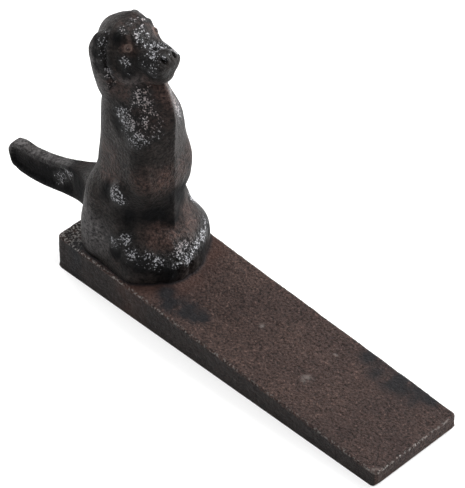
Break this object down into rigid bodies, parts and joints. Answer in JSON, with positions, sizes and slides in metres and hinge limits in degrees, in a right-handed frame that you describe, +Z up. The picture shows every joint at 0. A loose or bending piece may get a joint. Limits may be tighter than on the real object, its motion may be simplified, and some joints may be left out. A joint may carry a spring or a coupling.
{
  "type": "door stop",
  "caption": "Tapering cast-iron floor wedge with a seated hound on its thick end, its tail reaching out behind.",
  "frame": {"origin": "on the floor, on the mid-plane, half way between the end of the tail and the tip of the wedge", "axes": "+X from the thick rear end to the thin tip, the way the dog faces; +Y to the dog's left; +Z up"},
  "size_m": [0.2196, 0.045, 0.1245],
  "materials": {
    "wedge_iron": "matt rust-brown sand-cast skin",
    "dog_iron": "black sand-cast skin with rust-brown shading, glossy on the high spots",
    "screw_steel": "dull zinc-plated steel"
  },
  "bodies": {
    "root": {"wedge": "wedge_iron", "dog_right_half": "dog_iron", "dog_left_half": "dog_iron", "body_screw": "screw_steel", "base_screw_right": "screw_steel", "base_screw_left": "screw_steel", "base_washer_right": "screw_steel", "base_washer_left": "screw_steel"}
  },
  "joints": []
}
